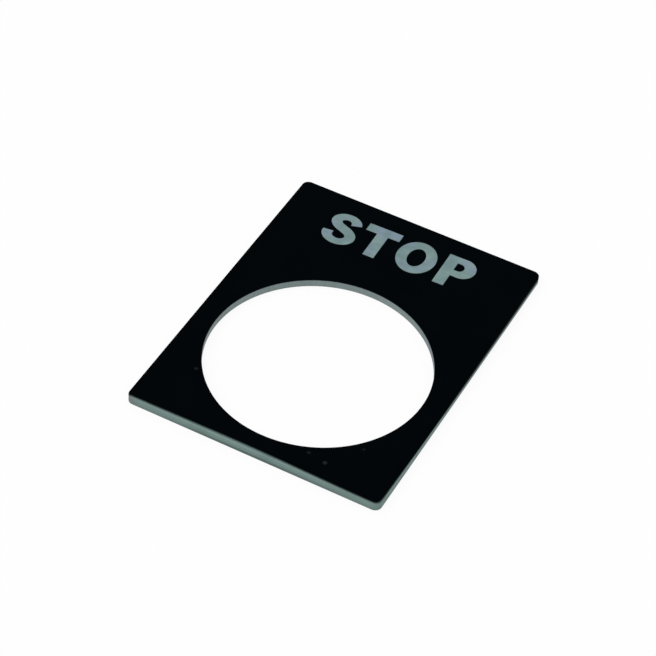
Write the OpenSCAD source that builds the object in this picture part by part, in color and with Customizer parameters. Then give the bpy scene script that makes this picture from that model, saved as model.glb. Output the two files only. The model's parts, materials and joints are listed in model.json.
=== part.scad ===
// Marking plate for a push button or signal lamp, blanked from thin sheet.
// A rounded rectangle with one large hole near its lower end, where the
// device's collar goes through, and a plain band above it for the marking.
//
// Millimetres. The origin is the centre of the hole on the back face,
// +Z points out of the front face and +Y from the hole towards the band.

/* [Sheet] */
// Width of the plate, along X
plate_w = 30; // [29:0.5:40]
// Height of the plate, along Y
plate_h = 40; // [36:0.5:60]
// Thickness of the sheet
sheet_t = 1; // [0.5:0.1:2]
// Radius of the plate's corners
corner_r = 0.8; // [0.5:0.1:3]

/* [Hole] */
// Diameter of the hole for the device's collar
hole_d = 25; // [22:0.5:27]
// Web of sheet left between the hole and the lower edge
lower_web = 2.5; // [1:0.25:4]

/* [Eased edges] */
// Size of the 45 degree break round the front face's outline
outline_ease = 0.1; // [0.05:0.01:0.2]
// Size of the 45 degree break round the front of the hole
hole_ease = 0.1; // [0.05:0.01:0.2]

/* [Hidden] */

// Sides of a full circle
$fn = 180;
// How far a cutting tool runs past the face that it cuts
overcut = 1;

// Lower and upper edges of the plate, from the hole's centre
lower_y = -(hole_d / 2 + lower_web);
upper_y = lower_y + plate_h;
middle_y = (lower_y + upper_y) / 2;

// Centres of the corner rounds, from the plate's middle
corner_x = plate_w / 2 - corner_r;
corner_y = plate_h / 2 - corner_r;

module at_corners() {
    for (sx = [-1, 1], sy = [-1, 1])
        translate([sx * corner_x, sy * corner_y]) children();
}

// Outline of the blank, a rectangle with rounded corners
module outline() {
    square([plate_w, 2 * corner_y], center = true);
    square([2 * corner_x, plate_h], center = true);
    at_corners() circle(r = corner_r);
}

// A bar of the given width whose two upper edges slope in, lying along Y
module sloped_bar(width, length) {
    base = width / 2;
    top = base - outline_ease;
    rotate([90, 0, 0])
        linear_extrude(length, center = true)
            polygon([[-base, 0], [base, 0], [top, outline_ease], [-top, outline_ease]]);
}

// The eased layer under the front face, sloping in by its own height all round
module eased_layer() {
    sloped_bar(plate_w, 2 * corner_y);
    rotate(90) sloped_bar(plate_h, 2 * corner_x);
    at_corners() cylinder(h = outline_ease, r1 = corner_r, r2 = corner_r - outline_ease);
}

// The blank before the hole is punched, about the plate's own middle
module blank() {
    linear_extrude(sheet_t - outline_ease) outline();
    translate([0, 0, sheet_t - outline_ease]) eased_layer();
}

// The punch, with a cone that breaks the edge where it enters the front face
module hole_tool() {
    translate([0, 0, -overcut]) cylinder(h = sheet_t + 2 * overcut, d = hole_d);
    translate([0, 0, sheet_t - hole_ease])
        cylinder(h = hole_ease + overcut, r1 = hole_d / 2, r2 = hole_d / 2 + hole_ease + overcut);
}

module plate() {
    color([0.012, 0.027, 0.031])
        difference() {
            translate([0, middle_y, 0]) blank();
            hole_tool();
        }
}

plate();
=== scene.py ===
# %% [markdown]
# # A marking plate for a push button
#
# This lesson dresses a small marking plate: a sheet of black-coated metal,
# 30 by 40 millimetres, with one big hole for a push button's collar and a
# word above it. Its solid comes ready from CAD, at its real size and place,
# so everything here is about looks: crisp cut edges, a coat that is black
# without being dead, and a word that shows the bare metal.
#
# The first step loads that solid. It is the ruler for all that follows.

# %% Load the plate's frame
import json
import math

import bmesh
import bpy
from mathutils import Matrix, Vector


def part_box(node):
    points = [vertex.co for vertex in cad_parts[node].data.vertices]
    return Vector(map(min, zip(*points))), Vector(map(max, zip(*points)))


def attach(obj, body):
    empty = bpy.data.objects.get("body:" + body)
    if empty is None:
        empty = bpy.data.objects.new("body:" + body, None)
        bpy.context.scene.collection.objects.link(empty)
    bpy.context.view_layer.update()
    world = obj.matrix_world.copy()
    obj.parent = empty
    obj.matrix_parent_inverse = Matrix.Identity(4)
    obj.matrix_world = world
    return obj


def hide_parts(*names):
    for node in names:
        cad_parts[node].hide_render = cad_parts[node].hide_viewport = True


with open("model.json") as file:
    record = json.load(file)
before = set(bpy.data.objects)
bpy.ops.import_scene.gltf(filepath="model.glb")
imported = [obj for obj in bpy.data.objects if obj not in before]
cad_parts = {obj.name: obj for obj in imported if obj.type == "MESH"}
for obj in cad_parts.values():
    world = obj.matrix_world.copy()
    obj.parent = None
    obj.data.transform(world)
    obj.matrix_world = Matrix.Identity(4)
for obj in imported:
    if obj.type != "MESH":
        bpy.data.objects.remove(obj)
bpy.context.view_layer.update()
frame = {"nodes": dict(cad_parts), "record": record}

print("CAD nodes:", sorted(frame["nodes"]))

# %% [markdown]
# ## Sizes from the frame
#
# A size that is typed twice can disagree with itself, so none of the plate's
# own sizes is typed here. The box gives width, height and thickness, and the
# record gives the hole's radius. The radius of the corners and the size of
# the eased front edge aren't written anywhere, but the CAD mesh shows them:
# the straight part of the top edge stops one corner radius before the side,
# and the straight part of the side wall stops one easing below the front.
#
# The plate is a few centimetres wide, and Blender's operators are happiest
# with numbers near 1. So pieces are modelled in millimetres and shrunk to
# metres once they are done.

# %% Measure the plate
MM = 0.001
# Points closer together than this, in millimetres, count as level
LEVEL = 0.002

mounts = {mount["name"]: mount for mount in frame["record"]["mounts"]}
hole_r = mounts["bore"]["dims"]["r_mm"]

low, high = (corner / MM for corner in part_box("plate"))
plate_w, plate_h, sheet_t = high - low
middle = (low + high) / 2

cad_points = [vertex.co / MM for vertex in frame["nodes"]["plate"].data.vertices]
corner_r = high.x - max(p.x for p in cad_points if p.y > high.y - LEVEL)
ease = high.z - max(p.z for p in cad_points if p.x > high.x - LEVEL)

print(f"plate {plate_w:.2f} x {plate_h:.2f} x {sheet_t:.2f} mm, hole radius {hole_r} mm")
print(f"corner radius {corner_r:.2f} mm, eased edge {ease:.2f} mm")

# %% [markdown]
# ## The camera
#
# The camera comes first, because it decides which details will be seen. It
# could be placed by eye, or by typing a rotation. It is easier to reason
# about as a photographer stands: what it aims at, how far round and how high
# it stands, how far away, and how much it is tipped sideways. A long lens
# from a quarter of a metre keeps the plate's sides almost parallel.

# %% Place the camera
aim = Vector((-1.44, 4.92, 1.0)) * MM
stands_round = math.radians(24.54)
stands_high = math.radians(44.90)
tipped = math.radians(4.83)
stands_off = 269.0 * MM

away = Vector((
    math.sin(stands_round) * math.cos(stands_high),
    -math.cos(stands_round) * math.cos(stands_high),
    math.sin(stands_high),
))
facing = (-away).to_track_quat("-Z", "Y").to_matrix().to_4x4()

lens = bpy.data.cameras.new("camera")
lens.sensor_width = 36.0
lens.lens = 135.8
lens.clip_start = 1 * MM
camera = bpy.data.objects.new("camera", lens)
bpy.context.scene.collection.objects.link(camera)
place = Matrix.Translation(aim + away * stands_off)
camera.matrix_world = place @ facing @ Matrix.Rotation(tipped, 4, "Z")
bpy.context.scene.camera = camera
print("camera at, in mm:", [round(c / MM, 1) for c in place.translation])

# %% [markdown]
# ## Sums on node sockets
#
# Materials are node trees, and a tree that is wired one link at a time is
# hard to read. This small class wraps a socket, so that Python's own signs
# make the Math nodes: `1 - mask` or `grain * 0.2`. A sum that has no sign of
# its own, such as the larger of two values, is asked of `math` by its name.
# Any other node comes from `node`, which sets the node's options first and
# then its inputs, each of which may be a plain value or another wrapped
# socket.

# %% A socket that does sums
class Wire:
    """An output socket of a node, which Python can do sums with."""

    def __init__(self, socket):
        self.socket = socket

    def node(self, kind, options=None, inputs=None, output=0):
        """Adds any node to the same tree and returns one of its outputs."""
        made = self.socket.id_data.nodes.new(kind)
        for name, value in (options or {}).items():
            setattr(made, name, value)
        for key, value in (inputs or {}).items():
            plug(value, made.inputs[key])
        return Wire(made.outputs[output]) if made.outputs else None

    def math(self, operation, *others):
        """Adds a Math node that starts from this value."""
        return self.node("ShaderNodeMath", {"operation": operation}, dict(enumerate((self, *others))))

    def __abs__(self):
        return self.math("ABSOLUTE")

    def __add__(self, other):
        return self.math("ADD", other)

    def __sub__(self, other):
        return self.math("SUBTRACT", other)

    def __rsub__(self, other):
        return self.node("ShaderNodeMath", {"operation": "SUBTRACT"}, {0: other, 1: self})

    def __mul__(self, other):
        return self.math("MULTIPLY", other)

    __radd__ = __add__
    __rmul__ = __mul__


def plug(value, socket):
    """Links a wire to a socket, or sets the socket to a plain value."""
    if isinstance(value, Wire):
        socket.id_data.links.new(value.socket, socket)
    else:
        socket.default_value = value


def empty_tree(owner):
    """Clears the node tree of a material or a world, ready for new nodes."""
    owner.use_nodes = True
    owner.node_tree.nodes.clear()
    return owner.node_tree


# %% [markdown]
# ## The stage
#
# A product picture on white needs a floor that disappears but still holds
# the object up. Brighter lamps would do it, and would wash out the plate as
# well. Here the floor is an ordinary matt floor for the light that bounces
# about, and mostly a plain white glow for the camera and for reflections.
# The part of it that isn't glow keeps the plate's shadow. From below it is
# clear, so that the underside can be looked at too.

# %% Make the floor
FLOOR_DROP = 0.02 * MM
FLOOR_SIDE = 4.0
FLOOR_GLOW = 0.9
FLOOR_PAINT = (0.95, 0.95, 0.95, 1.0)
WHITE = (1.0, 1.0, 1.0, 1.0)


def seen_directly(tree):
    """1 for rays from the camera, from a reflection or through glass, else 0."""
    ray = tree.nodes.new("ShaderNodeLightPath")
    camera_ray, glossy_ray, glass_ray = (
        Wire(ray.outputs[name])
        for name in ("Is Camera Ray", "Is Glossy Ray", "Is Transmission Ray")
    )
    return camera_ray.math("MAXIMUM", glossy_ray).math("MAXIMUM", glass_ray)


bpy.ops.object.select_all(action="DESELECT")
bpy.ops.mesh.primitive_plane_add(size=FLOOR_SIDE, location=(0, 0, -FLOOR_DROP))
floor = bpy.context.object
floor.name = "floor"

pale = bpy.data.materials.new("pale_floor")
seen = seen_directly(empty_tree(pale))
matt = seen.node("ShaderNodeBsdfDiffuse", inputs={"Color": FLOOR_PAINT})
glow = seen.node("ShaderNodeEmission", inputs={"Color": WHITE, "Strength": 1.0})
from_above = seen.node("ShaderNodeMixShader", inputs={0: seen * FLOOR_GLOW, 1: matt, 2: glow})
clear = seen.node("ShaderNodeBsdfTransparent")
below = seen.node("ShaderNodeNewGeometry", output="Backfacing")
one_way = seen.node("ShaderNodeMixShader", inputs={0: below, 1: from_above, 2: clear})
seen.node("ShaderNodeOutputMaterial", inputs={"Surface": one_way})
floor.data.materials.append(pale)
print("floor side in m:", FLOOR_SIDE)

# %% [markdown]
# ## The light
#
# Soft light from all round suits a flat plate, which has nothing to model
# with shadows. Most of it is the world itself. One large soft lamp from the
# upper left adds the slight direction that makes the hole's wall and the
# front edge look like walls. Together they light a white card to about
# white, so that a colour comes out about as it is written.

# %% Light the plate
WORLD_LIGHT = 0.72
LAMP_LIGHT = 1.0
LAMP_SPREAD = math.radians(50)
LAMP_FROM = Vector((-0.55, -0.6, 1.0))

world = bpy.data.worlds.new("studio")
bpy.context.scene.world = world
seen = seen_directly(empty_tree(world))
strength = seen * (1 - WORLD_LIGHT) + WORLD_LIGHT
sky = seen.node("ShaderNodeBackground", inputs={"Color": WHITE, "Strength": strength})
seen.node("ShaderNodeOutputWorld", inputs={"Surface": sky})

soft = bpy.data.lights.new("soft_lamp", "SUN")
soft.energy = LAMP_LIGHT
soft.angle = LAMP_SPREAD
lamp = bpy.data.objects.new("soft_lamp", soft)
lamp.rotation_euler = LAMP_FROM.to_track_quat("Z", "Y").to_euler()
bpy.context.scene.collection.objects.link(lamp)

bpy.context.scene.view_settings.view_transform = "Standard"
print("world light:", WORLD_LIGHT, "lamp light:", LAMP_LIGHT)

# %% [markdown]
# ## Colours and a shader to pour them into
#
# Colours are easiest to name as they look on a screen, as numbers from 0 to
# 255. Blender's sockets want light itself, which isn't the same thing: half
# way up the screen's scale is only a fifth of the light. `screen` converts
# one to the other.
#
# Each material starts from Object coordinates, which are the metres of the
# frame here, because every piece's object sits at the origin. Dividing by a
# millimetre turns them into the same millimetres that the pieces are
# modelled in.

# %% Colours and new materials
def screen(red, green, blue):
    """A colour as it looks on a screen, 0 to 255, as Blender's linear light."""
    def linear(level):
        share = level / 255
        return share / 12.92 if share <= 0.04045 else ((share + 0.055) / 1.055) ** 2.4
    return (linear(red), linear(green), linear(blue), 1.0)


def new_material(name):
    """A new material, its main shader node, and the point in millimetres."""
    material = bpy.data.materials.new(name)
    tree = empty_tree(material)
    shader = tree.nodes.new("ShaderNodeBsdfPrincipled")
    out = tree.nodes.new("ShaderNodeOutputMaterial")
    tree.links.new(shader.outputs[0], out.inputs["Surface"])
    metres = Wire(tree.nodes.new("ShaderNodeTexCoord").outputs["Object"])
    point = metres.node("ShaderNodeMapping", inputs={"Vector": metres, "Scale": (1 / MM,) * 3})
    return material, shader, point


def noise(point, scale, detail=2.0, stretch=(1, 1, 1)):
    """Soft noise from 0 to 1 with `scale` blobs to a millimetre."""
    stretched = point.node("ShaderNodeVectorMath", {"operation": "MULTIPLY"}, {0: point, 1: stretch})
    return point.node("ShaderNodeTexNoise", inputs={
        "Vector": stretched, "Scale": scale, "Detail": detail}, output="Fac")


def smooth(value, start, end):
    """0 up to `start`, 1 from `end` on, and a soft step between them."""
    return value.node("ShaderNodeMapRange", {"interpolation_type": "SMOOTHSTEP"}, {
        "Value": value, "From Min": start, "From Max": end})


def mix(factor, first, second):
    """The first colour where the factor is 0 and the second where it is 1."""
    maker = factor if isinstance(factor, Wire) else first
    return maker.node("ShaderNodeMix", {"data_type": "RGBA"}, {0: factor, 6: first, 7: second}, output=2)


def bump(height, microns):
    """A normal for a surface whose height varies by this many microns."""
    return height.node("ShaderNodeBump", inputs={
        "Height": height, "Strength": 1.0, "Distance": microns * 1e-6})


# %% [markdown]
# ## Where the coat ends
#
# The plate has a black coat on its faces and bare metal on its cut walls.
# Two materials that meet at an edge of the mesh give a line as sharp as a
# knife, and the real line isn't. Along the lower edge the black is rubbed
# away a little before the edge. On the other sides it runs over the edge and
# part of the way down the wall. On the upper part of the right wall the
# black reaches furthest down, and there it is a painted dark reflection on
# the bare metal. So both finishes go into one material, and a mask says
# where the black is: the coat, and on the right wall that painted dark
# reflection.
#
# The mask needs to know how far a point is from the outline. Sideways from
# the plate's middle lines, whatever is beyond the point where a corner's
# round starts makes the two legs of a right triangle. Its long side, less
# the radius, is the distance, and the usual case of a point that is inside
# needs only the larger leg.

# %% Measure the way to the outline and to the hole
plate_finish, shader, point = new_material("coat_and_cut_metal")
split = point.node("ShaderNodeSeparateXYZ", inputs={"Vector": point}).socket.node
x, y, z = (Wire(split.outputs[name]) for name in "XYZ")
past_x = abs(x - middle.x) - (plate_w / 2 - corner_r)
past_y = abs(y - middle.y) - (plate_h / 2 - corner_r)
leg_x, leg_y = past_x.math("MAXIMUM", 0), past_y.math("MAXIMUM", 0)
long_side = (leg_x * leg_x + leg_y * leg_y).math("SQRT")
larger_leg = past_x.math("MAXIMUM", past_y).math("MINIMUM", 0)
in_from_outline = corner_r - long_side - larger_leg

from_axis = (x * x + y * y).math("SQRT")
in_from_hole = from_axis - hole_r
print("nodes so far:", len(plate_finish.node_tree.nodes))

# %% [markdown]
# On a face, that distance is the way to the edge. On a wall it is nothing,
# and what counts is how far down the wall a point lies. So the sum of the
# distance and the height, counted from the face, runs smoothly over the
# edge: above nothing on the face and below nothing on the wall. The coat
# ends at a limit on that scale. The limit is one shallow arc along the
# lower edge, and a long slope along the right one, which carries the black
# far down the upper part of the right wall as a painted dark reflection.
# The lower edge is worn more softly than the others, so the step between
# the finishes is widest there.

# %% Mask the coat
# Limits in millimetres: above 0 on the face, below 0 on the wall
LOWER_ARC, LOWER_LEFT, LOWER_RIGHT = 0.19, 0.18, 0.08
# On the upper right the black reaches far down the bare wall: a painted dark reflection, not coat
RIGHT_UPPER_DARK_REACH, RIGHT_LOWER = -0.51, 0.06
OTHER_SIDES = -0.20
HOLE_RIM = -0.11
BACK_RIM = 0.03
# How far from the left side the lower edge's limit holds in full
LEFT_CORNER = 0.7
# Y below which the limit on the right side slopes to its lower value
SLOPES_FROM = 9.0
# How near to an edge its own limit starts to count, and counts in full
STARTS_NEAR, FULL_NEAR = 1.5, 0.5
# Half the width of the soft step at the limit
LOWER_SOFT, SIDE_SOFT, HOLE_SOFT = 0.20, 0.12, 0.06
# How far the limit wanders along a score line
WANDER = 0.06

scores = noise(point, 6.0, detail=3.0, stretch=(1, 1, 0.06))
wander = (scores - 0.5) * WANDER
mid_span = smooth(x, low.x, middle.x) - smooth(x, middle.x, high.x)
lower_ends = smooth(x, low.x, high.x) * (LOWER_RIGHT - LOWER_LEFT) + LOWER_LEFT
lower_limit = mid_span * LOWER_ARC + lower_ends
right_coat_and_shade_limit = (1 - smooth(y, low.y, SLOPES_FROM)) * (RIGHT_LOWER - RIGHT_UPPER_DARK_REACH) + RIGHT_UPPER_DARK_REACH
near_right = smooth(x, high.x - STARTS_NEAR, high.x - FULL_NEAR)
past_left = smooth(x, low.x, low.x + LEFT_CORNER)
near_lower = (1 - smooth(y, low.y + FULL_NEAR, low.y + STARTS_NEAR)) * past_left
side_limit = near_right * (right_coat_and_shade_limit - OTHER_SIDES) + OTHER_SIDES
limit = near_lower * (lower_limit - side_limit) + side_limit

front_in = in_from_outline + z - sheet_t + wander - limit
crispness = near_lower * (1 / LOWER_SOFT - 1 / SIDE_SOFT) + 1 / SIDE_SOFT
front_coat_and_shade = smooth(front_in * crispness, -1, 1)
rim_coat = smooth(in_from_hole + z - sheet_t + wander - HOLE_RIM, -HOLE_SOFT, HOLE_SOFT)
nearest = in_from_outline.math("MINIMUM", in_from_hole)
back_coat = smooth(nearest - z + wander - BACK_RIM, -HOLE_SOFT, HOLE_SOFT)
# Black where this is 1: the coat, and the painted dark reflection on the upper right wall
coat_and_shade_there = front_coat_and_shade.math("MINIMUM", rim_coat).math("MAXIMUM", back_coat)
print("nodes so far:", len(plate_finish.node_tree.nodes))

# %% [markdown]
# ## The black coat
#
# The coat is thin and even, a little green and blue in its depth. A plain
# black would do from where the camera stands, but a coat is a surface: it
# has a fine tooth that breaks up a reflection, patches that are a shade
# more polished, and here four specks of dust or pinholes near the hole. The
# tooth and the patches come from noise. The specks are put where they are
# on the plate, each as the distance from its centre.

# %% Mix the black coat
COAT_DEEP = screen(1, 3, 5)
COAT_FAIR = screen(3, 7, 9)
SPECK_GREY = screen(38, 41, 42)
# Centre of each speck in millimetres, its radius, and how plainly it shows
SPECKS = (
    ((-10.6, -7.8), 0.30, 0.5),
    ((5.4, -12.2), 0.28, 0.5),
    ((7.5, -12.6), 0.32, 0.8),
    ((10.1, -8.9), 0.26, 0.3),
)
# Share of a speck's radius within which it doesn't fade
SPECK_CORE = 0.3

patches = noise(point, 0.25, detail=3.0)
tooth = noise(point, 9.0, detail=4.0)
black = mix(patches, COAT_DEEP, COAT_FAIR)
for (speck_x, speck_y), speck_r, plainness in SPECKS:
    distance = point.node("ShaderNodeVectorMath", {"operation": "DISTANCE"}, {
        0: point, 1: (speck_x, speck_y, sheet_t)}, output="Value")
    ragged = distance + (tooth - 0.5) * speck_r
    speck = (1 - smooth(ragged, SPECK_CORE * speck_r, speck_r)) * plainness
    black = mix(speck, black, SPECK_GREY)
print("specks on the coat:", len(SPECKS))

# %% [markdown]
# ## The cut walls
#
# A blank that is punched from sheet shows how it was made on its walls. The
# tool first shears the metal and rubs it smooth, and nearer to the far face
# the metal breaks away instead, which is duller. That lower part of the
# outline's wall is also painted darker, as painted shade from the gap under
# the edge, and the painted shade shows most in the middle of the long cut.
# Fine score lines run the short way, from face to face. The hole's wall is
# painted lighter than the outline's, as painted light bounced from the white
# floor inside the hole. On its right side it is painted a shade darker and
# bluer, as painted shade. The outline's wall is greenish, and a plainer grey
# on the left side and round its corners.
#
# The band of painted shade comes from the height on the wall. The score
# lines are noise that is squeezed along X and Y and hardly changes along Z,
# so the same noise serves straight walls, corners and the round hole.

# %% Mix the bare cut metal
EDGE_RUBBED = screen(117, 138, 134)
EDGE_PLAIN = screen(116, 124, 123)
# Darker grey for score lines and blotches, and for the painted shade low on the outline's wall
EDGE_SCORES_AND_SHADE = screen(84, 104, 101)
# The hole's wall is painted lighter, as painted light bounced from the floor inside the hole
HOLE_BOUNCE_LIT = screen(131, 144, 143)
# Painted bluish shade for the right side of the hole's wall
HOLE_BLUE_SHADE = screen(120, 128, 135)
# How far from the left side the wall has turned from plain grey to greenish
PLAIN_TO = 2.0
# Height on the wall up to which the painted shade reaches, as a share of the sheet
LOW_SHADE_TOP = 0.42
# How softly it starts, as a share of that height, and how ragged it is in mm
LOW_SHADE_SOFT, LOW_SHADE_RAGGED = 0.4, 0.12
# How plainly it shows at the ends of the cut, and how much more in the middle
LOW_SHADE_ENDS, LOW_SHADE_MIDDLE = 0.15, 0.7
# X at which the painted bluish shade on the hole's wall starts, and at which it is full
BLUE_SHADE_STARTS, BLUE_SHADE_FULL = 4.0, 11.0
# How plainly score lines and blotches darken the walls, and the levels of
# their noise between which they come up
SCORES_SHOW, SCORE_LEVELS = 0.12, (0.35, 0.75)
BLOTCHES_SHOW, BLOTCH_LEVELS = 0.2, (0.4, 0.7)

in_hole = 1 - smooth(in_from_hole, ease, 2 * ease)
blotches = noise(point, 0.5, detail=2.0)
ragged_height = z + (scores - 0.5) * LOW_SHADE_RAGGED
shade_top = LOW_SHADE_TOP * sheet_t
# Painted shade: the low part of the wall, where the gap under the edge is dark
shaded = 1 - smooth(ragged_height, shade_top * (1 - LOW_SHADE_SOFT), shade_top * (1 + LOW_SHADE_SOFT))
shade_and_fracture = shaded * (mid_span * LOW_SHADE_MIDDLE + LOW_SHADE_ENDS) * (1 - in_hole)
# Painted light makes the hole's wall lighter, and painted bluish shade darkens its right side
hole_wall = mix(smooth(x, BLUE_SHADE_STARTS, BLUE_SHADE_FULL), HOLE_BOUNCE_LIT, HOLE_BLUE_SHADE)
edge_wall = mix(smooth(x, low.x, low.x + PLAIN_TO), EDGE_PLAIN, EDGE_RUBBED)
bare = mix(in_hole, edge_wall, hole_wall)
bare = mix(smooth(scores, *SCORE_LEVELS) * SCORES_SHOW, bare, EDGE_SCORES_AND_SHADE)
bare = mix(smooth(blotches, *BLOTCH_LEVELS) * BLOTCHES_SHOW, bare, EDGE_SCORES_AND_SHADE)
# The low part of the outline's wall is painted darker as shade, most in the middle of the cut
bare = mix(shade_and_fracture, bare, EDGE_SCORES_AND_SHADE)
# Height up to which the wall is painted darker as shade
print("broken part of the wall, in mm:", round(shade_top, 2))

# %% [markdown]
# The mask now picks between the two. It mixes the colours, and it turns the
# metal's own look on and off. The coat is nearly without a mirror shine from
# the front, so the specular level is low. That level is one number all over,
# so it is set on the shader's own socket.

# %% Join coat and metal in one shader
METAL_SHARE = 0.35
COAT_SPECULAR = 0.004
# Roughness where each finish is at its smoothest, to which its noise adds
COAT_ROUGH, BARE_ROUGH = 0.34, 0.38
# How many times deeper the relief of a cut wall is than that of the coat
WALL_RELIEF = 4

bare_there = 1 - coat_and_shade_there
coat_rough = patches * 0.12 + tooth * 0.1 + COAT_ROUGH
bare_rough = shade_and_fracture * 0.2 + scores * 0.15 + BARE_ROUGH
relief = coat_and_shade_there * tooth + bare_there * (scores + shade_and_fracture * blotches) * WALL_RELIEF
plug(mix(coat_and_shade_there, bare, black), shader.inputs["Base Color"])
plug(coat_and_shade_there * coat_rough + bare_there * bare_rough, shader.inputs["Roughness"])
plug(bare_there * METAL_SHARE, shader.inputs["Metallic"])
plug(bump(relief, 1.0), shader.inputs["Normal"])
shader.inputs["Specular IOR Level"].default_value = COAT_SPECULAR
print("nodes in the plate's finish:", len(plate_finish.node_tree.nodes))

# %% [markdown]
# ## The marking's metal
#
# The word is the same light grey as the cut edges, as if the coat had been
# taken off down to the sheet. A flat grey would look like a sticker. Bare
# sheet keeps the faint grain of the rolling, which runs along it in long
# streaks, and a slight cloudiness where the coat came off less evenly. The
# grey also drifts a little between green and blue from place to place.

# %% Mix the marking's metal
MARK_GREEN = screen(122, 149, 145)
MARK_BLUE = screen(124, 142, 158)
MARK_DULL = screen(104, 130, 131)
# Levels of noise between which green turns to blue, and dull metal to fair
DRIFT_LEVELS, FAIR_LEVELS = (0.4, 0.62), (0.35, 0.65)
MARK_ROUGH = 0.4

marking, shader, point = new_material("marking_metal")
grain = noise(point, 5.0, detail=3.0, stretch=(0.08, 1, 1))
clouds = noise(point, 0.7, detail=2.0)
drift = noise(point, 0.45, detail=1.0)
fair = mix(smooth(drift, *DRIFT_LEVELS), MARK_GREEN, MARK_BLUE)
fair_there = smooth(clouds * 0.6 + grain * 0.4, *FAIR_LEVELS)
plug(mix(fair_there, MARK_DULL, fair), shader.inputs["Base Color"])
plug(grain * 0.2 + MARK_ROUGH, shader.inputs["Roughness"])
plug(bump(grain, 2.0), shader.inputs["Normal"])
shader.inputs["Metallic"].default_value = METAL_SHARE
print("materials:", plate_finish.name, marking.name)

# %% [markdown]
# ## Hands for edit mode
#
# Modelling by hand is a rhythm of picking something and pulling it. Picking
# is the part that code has to do differently: nobody clicks, so a test says
# which corners, edges or faces to take, by where they are. Everything is let
# go first, because an operator acts on all that is selected, and the CAD
# nodes are left selected by the loading.

# %% Start a piece and pick from it
# Faces that meet at more than this make an edge that a bevel should roll
ARRIS_FROM = math.radians(60)


def start_plane(name, centre, width, length):
    """A new flat rectangle, with its place and size already in its mesh."""
    bpy.ops.object.select_all(action="DESELECT")
    bpy.ops.mesh.primitive_plane_add(size=1, location=centre)
    piece = bpy.context.object
    piece.name = name
    piece.scale = (width, length, 1)
    bpy.ops.object.transform_apply(location=True, rotation=True, scale=True)
    bpy.ops.object.mode_set(mode="EDIT")
    return piece


def pick(kind, test):
    """Selects only the VERTs, EDGEs or FACEs of the open piece that pass the test."""
    bpy.ops.mesh.select_mode(type=kind)
    bpy.ops.mesh.select_all(action="DESELECT")
    data = bpy.context.object.data
    mesh = bmesh.from_edit_mesh(data)
    parts = {"VERT": mesh.verts, "EDGE": mesh.edges, "FACE": mesh.faces}[kind]
    chosen = [part for part in parts if test(part)]
    for part in chosen:
        part.select_set(True)
    mesh.select_flush_mode()
    bmesh.update_edit_mesh(data)
    return len(chosen)


def at_height(part, z):
    """True if every corner of an edge or a face lies at this height."""
    return all(abs(vertex.co.z - z) < LEVEL for vertex in part.verts)


def is_arris(edge):
    """True for an edge where two faces meet at nearly a right angle."""
    return edge.is_manifold and edge.calc_face_angle(0.0) > ARRIS_FROM


# %% [markdown]
# ## The plate
#
# On the real plate a press blanks the outline and punches the hole. One way
# to copy that is a block with a cylinder cut from it, which leaves ragged
# faces round the hole. Drawing the two outlines, filling between them and
# giving that face its thickness keeps clean, even rows of faces along every
# edge, which is where the light catches.
#
# The outline is a rectangle whose four corners are bevelled round. The face
# is then thrown away and only its border kept, the hole's circle is added,
# and the space between the two is filled.

# %% Draw the plate's outline and hole
CORNER_STEPS = 16
HOLE_STEPS = 240

plate = start_plane("coated_plate", (middle.x, middle.y, 0), plate_w, plate_h)
bpy.ops.mesh.bevel(affect="VERTICES", offset=corner_r, segments=CORNER_STEPS)
bpy.ops.mesh.select_all(action="SELECT")
bpy.ops.mesh.delete(type="ONLY_FACE")
bpy.ops.mesh.primitive_circle_add(vertices=HOLE_STEPS, radius=hole_r, location=(0, 0, 0))
bpy.ops.mesh.select_all(action="SELECT")
bpy.ops.mesh.fill(use_beauty=True)
print("faces between outline and hole:", pick("FACE", lambda face: True))

# %% [markdown]
# An inset lays one even row of faces along the outline and round the hole.
# Then the whole face is pulled up by the sheet's thickness.

# %% Give the plate its thickness
row_w = 3 * ease
bpy.ops.mesh.inset(thickness=row_w, use_boundary=True)
bpy.ops.mesh.select_all(action="SELECT")
bpy.ops.mesh.extrude_region_move(TRANSFORM_OT_translate={"value": (0, 0, sheet_t)})
bpy.ops.mesh.select_all(action="SELECT")
bpy.ops.mesh.normals_make_consistent(inside=False)
open_edges = pick("EDGE", lambda edge: not edge.is_manifold)
print("open edges, which should be 0:", open_edges)

# %% [markdown]
# Punching draws the front face down a little as the tool enters, so the
# front edges are rolled over, and the back ones are nearly sharp. Both are
# bevels, the front one with more steps because it is larger.

# %% Roll the edges
ROLL_STEPS = 4
BACK_ROLL = 0.03
BACK_STEPS = 2

front_edges = pick("EDGE", lambda edge: at_height(edge, sheet_t) and is_arris(edge))
bpy.ops.mesh.bevel(offset=ease, segments=ROLL_STEPS)
back_edges = pick("EDGE", lambda edge: at_height(edge, 0) and is_arris(edge))
bpy.ops.mesh.bevel(offset=BACK_ROLL, segments=BACK_STEPS)
print("edges rolled at the front:", front_edges, "and at the back:", back_edges)

# %% [markdown]
# Smooth shading belongs on the rolls and the round walls. On the big black
# faces it would let false shading creep in from the edges, so these are left
# flat. They are told apart by where they face.

# %% Shade the plate
UPRIGHT = 0.999
SMOOTH_TO = math.radians(35)


def shade(piece):
    """Smooths the small roundings of a piece and leaves its flat faces flat."""
    bpy.ops.object.mode_set(mode="OBJECT")
    bpy.ops.object.shade_smooth_by_angle(angle=SMOOTH_TO)
    bpy.ops.object.mode_set(mode="EDIT")
    flats = pick("FACE", lambda face: abs(face.normal.z) > UPRIGHT)
    bpy.ops.mesh.faces_shade_flat()
    bpy.ops.object.mode_set(mode="OBJECT")
    return flats


print("flat faces:", shade(plate))
plate.data.materials.append(plate_finish)

# %% [markdown]
# A finished piece is shrunk from millimetres to metres. Applying the scale
# puts the size into the mesh and leaves the object itself unscaled at the
# origin, as the frame wants it. It then rides on the frame's only body, and
# the CAD plate is hidden.

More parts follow.
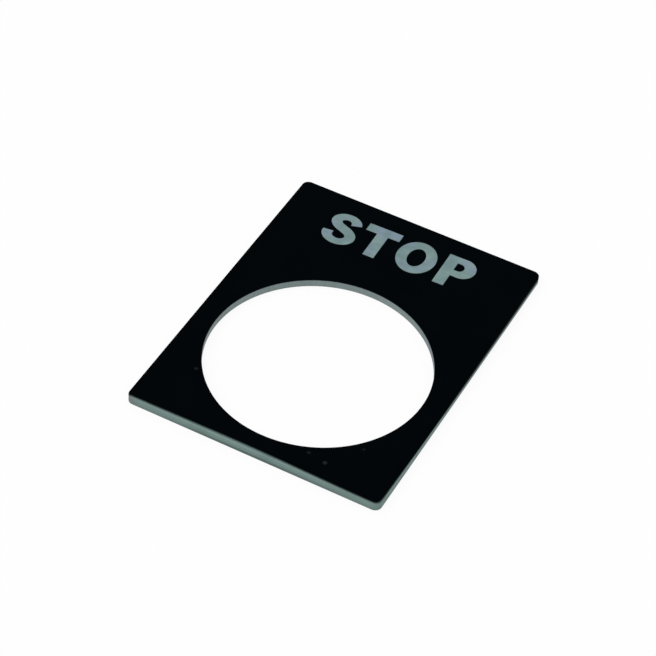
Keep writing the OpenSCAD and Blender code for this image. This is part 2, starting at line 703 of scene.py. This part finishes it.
# %% Hand the plate over to the frame
def hand_over(piece):
    """Shrinks a finished piece to metres and fixes it to the frame's body."""
    bpy.ops.object.select_all(action="DESELECT")
    piece.select_set(True)
    bpy.context.view_layer.objects.active = piece
    piece.scale = (MM, MM, MM)
    bpy.ops.object.transform_apply(location=True, rotation=True, scale=True)
    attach(piece, "root")


hand_over(plate)
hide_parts("plate")
print("plate's faces:", len(plate.data.polygons))

# %% [markdown]
# ## The letters
#
# The marking is one short function word in heavy capitals, as such plates
# carry. Text could be typed with a text object, which brings its own font.
# Here the letters are drawn as plain block letters instead, each from the
# strokes that it is made of. They share one height and one baseline, and
# round letters run past both by a hair, or they would look too small.
#
# Each letter is drawn flat at first, and gets its thickness at the end.

# %% Rule the lines for the letters
BASELINE = 17.38
CAP_LINE = 22.44
OVERSHOOT = 0.08
# How far the letters stand out of the coat, and how far they reach into it
PROUD = 0.012
SUNK = 0.02

letter_z = sheet_t + PROUD
round_low = BASELINE - OVERSHOOT
round_high = CAP_LINE + OVERSHOOT
print("cap height in mm:", CAP_LINE - BASELINE)


def pull_down(length):
    """Pulls what is selected down the plate, leaving a face behind it."""
    bpy.ops.mesh.extrude_region_move(TRANSFORM_OT_translate={"value": (0, -length, 0)})


def resize_open(width, length, centre):
    """Scales what is selected about a point."""
    bpy.ops.transform.resize(value=(width, length, 1), center_override=centre)


def cut_across(x):
    """Cuts the whole open piece in two along a line of this X."""
    bpy.ops.mesh.select_all(action="SELECT")
    bpy.ops.mesh.bisect(plane_co=(x, 0, 0), plane_no=(1, 0, 0))


def pick_level_edge(y, left, right):
    """Selects the edges that lie at this Y between two values of X."""
    return pick("EDGE", lambda edge: all(
        abs(v.co.y - y) < LEVEL and left - LEVEL < v.co.x < right + LEVEL for v in edge.verts))


# %% [markdown]
# The T is a bar with a stem pulled out of its lower edge. Two cuts across
# the bar mark where the stem leaves it.

# %% Draw the T
def draw_t(left, right, bar_t, stem_w):
    """Draws a T between two values of X, and leaves it in edit mode."""
    middle_x = (left + right) / 2
    stem_left, stem_right = middle_x - stem_w / 2, middle_x + stem_w / 2
    bar_low = CAP_LINE - bar_t
    piece = start_plane("letter_t", (middle_x, CAP_LINE - bar_t / 2, letter_z), right - left, bar_t)
    cut_across(stem_left)
    cut_across(stem_right)
    pick_level_edge(bar_low, stem_left, stem_right)
    pull_down(bar_low - BASELINE)
    return piece


letter_t = draw_t(left=-5.11, right=-0.95, bar_t=1.21, stem_w=1.36)
print("faces in the T:", pick("FACE", lambda face: True))
bpy.ops.object.mode_set(mode="OBJECT")

# %% [markdown]
# The O is a ring between two ovals. Its counter, the hole inside it, is
# taller than it is wide, so the sides are heavier than the top and bottom.
# Both ovals have as many corners, and bridging joins them one to one.

# %% Draw the O
OVAL_STEPS = 96


def draw_o(left, right, side_t, top_t):
    """Draws an O between two values of X, and leaves it in edit mode."""
    centre = ((left + right) / 2, (round_low + round_high) / 2, letter_z)
    width, height = right - left, round_high - round_low
    bpy.ops.object.select_all(action="DESELECT")
    bpy.ops.mesh.primitive_circle_add(vertices=OVAL_STEPS, radius=0.5, location=centre)
    piece = bpy.context.object
    piece.name = "letter_o"
    bpy.ops.object.transform_apply(location=True, rotation=True, scale=True)
    bpy.ops.object.mode_set(mode="EDIT")
    bpy.ops.mesh.select_all(action="SELECT")
    resize_open(width, height, centre)
    bpy.ops.mesh.primitive_circle_add(vertices=OVAL_STEPS, radius=0.5, location=centre)
    resize_open(width - 2 * side_t, height - 2 * top_t, centre)
    bpy.ops.mesh.select_all(action="SELECT")
    bpy.ops.mesh.bridge_edge_loops()
    return piece


letter_o = draw_o(left=-0.49, right=4.15, side_t=1.31, top_t=1.10)
print("faces in the O:", pick("FACE", lambda face: True))
bpy.ops.object.mode_set(mode="OBJECT")

# %% [markdown]
# The P is a bowl on a stem. The bowl starts as a rectangle whose two right
# corners are bevelled round, and a cut down it marks the stem's right side,
# so that the lower edge left of the cut can be pulled down to the baseline.
# Dissolving the faces into one leaves a single border, and the counter, a
# smaller rounded rectangle, goes inside it before the space is filled.

# %% Draw the P
BOWL_STEPS = 24


def round_right_corners(right, low_y, high_y, radius):
    """Bevels the two corners that stand on a line of this X."""
    pick("VERT", lambda v: abs(v.co.x - right) < LEVEL and low_y - LEVEL < v.co.y < high_y + LEVEL)
    bpy.ops.mesh.bevel(affect="VERTICES", offset=radius, segments=BOWL_STEPS)


def draw_p(left, right, stem_w, bowl_h, bowl_t, side_t):
    """Draws a P between two values of X, and leaves it in edit mode."""
    bowl_low = CAP_LINE - bowl_h
    bowl_y = CAP_LINE - bowl_h / 2
    stem_right = left + stem_w
    piece = start_plane("letter_p", ((left + right) / 2, bowl_y, letter_z), right - left, bowl_h)
    round_right_corners(right, bowl_low, CAP_LINE, bowl_h / 2 - LEVEL)
    cut_across(stem_right)
    pick_level_edge(bowl_low, left, stem_right)
    pull_down(bowl_low - BASELINE)
    bpy.ops.mesh.select_all(action="SELECT")
    bpy.ops.mesh.dissolve_faces()

    counter_h = bowl_h - 2 * bowl_t
    counter_right = right - side_t
    centre = ((stem_right + counter_right) / 2, bowl_y, letter_z)
    bpy.ops.mesh.primitive_plane_add(size=1, location=centre)
    resize_open(counter_right - stem_right, counter_h, centre)
    round_right_corners(
        counter_right, bowl_y - counter_h / 2, bowl_y + counter_h / 2, counter_h / 2 - LEVEL)
    bpy.ops.mesh.select_all(action="SELECT")
    bpy.ops.mesh.delete(type="ONLY_FACE")
    bpy.ops.mesh.select_all(action="SELECT")
    bpy.ops.mesh.fill(use_beauty=True)
    return piece


letter_p = draw_p(left=4.91, right=8.69, stem_w=1.36, bowl_h=3.18, bowl_t=0.98, side_t=1.36)
print("faces in the P:", pick("FACE", lambda face: True))
bpy.ops.object.mode_set(mode="OBJECT")

# %% [markdown]
# The S is a stroke that turns round two bowls, a smaller one on top of a
# larger one. Spin is made for this: it takes an edge as wide as the stroke
# and sweeps it round a centre. It goes over the upper bowl, straight down
# the slope to the lower one, and round that the other way. The slope has to
# touch both bowls. How steep it is follows from how far apart they are: its
# cosine is the sum of the two radii over the distance of the centres.
#
# A heavy S has a heavier spine than bowls. So the slope is scaled up in height
# with proportional editing on, which carries its neighbours along, the less
# the further off they are.
#
# So far the bowls are parts of circles. Now the whole letter is stretched
# sideways to its width, which makes the upright parts of the stroke heavier
# than the level ones, as in the O. Last, both ends are trimmed at a slant
# with bisect, which clears away what lies beyond the cut.

# %% Draw the S
SPIN_STEPS = 40
# Length of straight stroke at both ends, for the trims to cut through
END_SPARE = 0.4
# How much the spine swells, and how far the pull reaches in millimetres
SPINE_SWELL, SPINE_REACH = 1.2, 0.9
# The spine's own corners lie this near to its middle, as a share of the stroke
SPINE_PART = 0.75
# A point on each slanted cut, and the way towards what is cleared
UPPER_CUT = (-5.62, 21.32, 0), (0.31, -0.95, 0)
LOWER_CUT = (-9.52, 19.02, 0), (-0.12, 0.99, 0)
# The faces to cut are further than this to one side of their bowl's centre,
# and nearer than this to its height
END_ASIDE, END_LEVEL = 0.3, 0.6


def trim(bowl, side, cut):
    """Cuts a bowl's end, on its left for a side of -1 and on its right for 1."""
    def at_end(face):
        offset = face.calc_center_median() - bowl
        return side * offset.x > END_ASIDE and abs(offset.y) < END_LEVEL

    through, beyond = cut
    pick("FACE", at_end)
    bpy.ops.mesh.bisect(plane_co=through, plane_no=beyond, clear_outer=True)


def draw_s(left, right, stroke, upper_r, lower_r):
    """Draws an S between two values of X, and leaves it in edit mode."""
    centre_x = (left + right) / 2
    upper = Vector((centre_x, round_high - stroke / 2 - upper_r, letter_z))
    lower = Vector((centre_x, round_low + stroke / 2 + lower_r, letter_z))
    slope = math.acos((upper_r + lower_r) / (upper.y - lower.y))
    sweep = math.radians(270) - slope
    way_out = Vector((math.cos(sweep), math.sin(sweep), 0))
    leaves, arrives = upper + upper_r * way_out, lower - lower_r * way_out

    start = upper + Vector((upper_r, -END_SPARE / 2, 0))
    piece = start_plane("letter_s", start, stroke, END_SPARE)
    pick_level_edge(upper.y, left, right)
    bpy.ops.mesh.spin(steps=SPIN_STEPS, angle=-sweep, center=upper, axis=(0, 0, 1))
    bpy.ops.mesh.extrude_region_move(TRANSFORM_OT_translate={"value": arrives - leaves})
    bpy.ops.mesh.spin(steps=SPIN_STEPS, angle=sweep, center=lower, axis=(0, 0, 1))
    bpy.ops.mesh.extrude_region_move(TRANSFORM_OT_translate={"value": (0, END_SPARE, 0)})

    spine = (leaves + arrives) / 2
    pick("VERT", lambda v: (v.co - spine).length < SPINE_PART * stroke)
    bpy.ops.transform.resize(
        value=(1, SPINE_SWELL, 1), center_override=spine, use_proportional_edit=True,
        use_proportional_connected=True, proportional_size=SPINE_REACH)

    bpy.ops.mesh.select_all(action="SELECT")
    resize_open((right - left) / (2 * lower_r + stroke), 1, upper)
    trim(upper, 1, UPPER_CUT)
    trim(lower, -1, LOWER_CUT)
    return piece


letter_s = draw_s(left=-9.45, right=-5.48, stroke=0.97, upper_r=0.95, lower_r=1.09)
print("faces in the S:", pick("FACE", lambda face: True))
bpy.ops.object.mode_set(mode="OBJECT")

# %% [markdown]
# The flat letters become thin inlays. Solidify gives them a thickness that
# reaches down through the coat, and a tiny bevel keeps their upper edges
# from looking cut out of paper.
#
# The row isn't quite level on the real plate: it rises about a degree to the
# right. So each letter is turned that much about the middle of the row.

# %% Give the letters their thickness
ROW_TURN = math.radians(1.15)
ROW_MIDDLE = (0, (BASELINE + CAP_LINE) / 2, letter_z)
LETTER_ROLL = 0.005
# Corners nearer to each other than this are one corner
WELD = LEVEL / 10


def inlay(piece):
    """Turns a flat letter into a thin solid in the plate's face."""
    bpy.ops.object.select_all(action="DESELECT")
    piece.select_set(True)
    bpy.context.view_layer.objects.active = piece
    bpy.ops.object.mode_set(mode="EDIT")
    bpy.ops.mesh.select_all(action="SELECT")
    bpy.ops.mesh.remove_doubles(threshold=WELD)
    bpy.ops.transform.rotate(value=-ROW_TURN, orient_axis="Z", center_override=ROW_MIDDLE)
    if pick("FACE", lambda face: face.normal.z < 0):
        bpy.ops.mesh.flip_normals()
    bpy.ops.object.mode_set(mode="OBJECT")

    thickness = piece.modifiers.new("thickness", "SOLIDIFY")
    thickness.thickness = PROUD + SUNK
    thickness.offset = -1
    roll = piece.modifiers.new("roll", "BEVEL")
    roll.width = LETTER_ROLL
    roll.segments = 2
    roll.limit_method = "ANGLE"
    roll.angle_limit = ARRIS_FROM
    for modifier in list(piece.modifiers):
        bpy.ops.object.modifier_apply(modifier=modifier.name)
    piece.data.materials.append(marking)
    shade(piece)
    hand_over(piece)


for letter in (letter_s, letter_t, letter_o, letter_p):
    inlay(letter)
    print(letter.name, "has", len(letter.data.polygons), "faces")
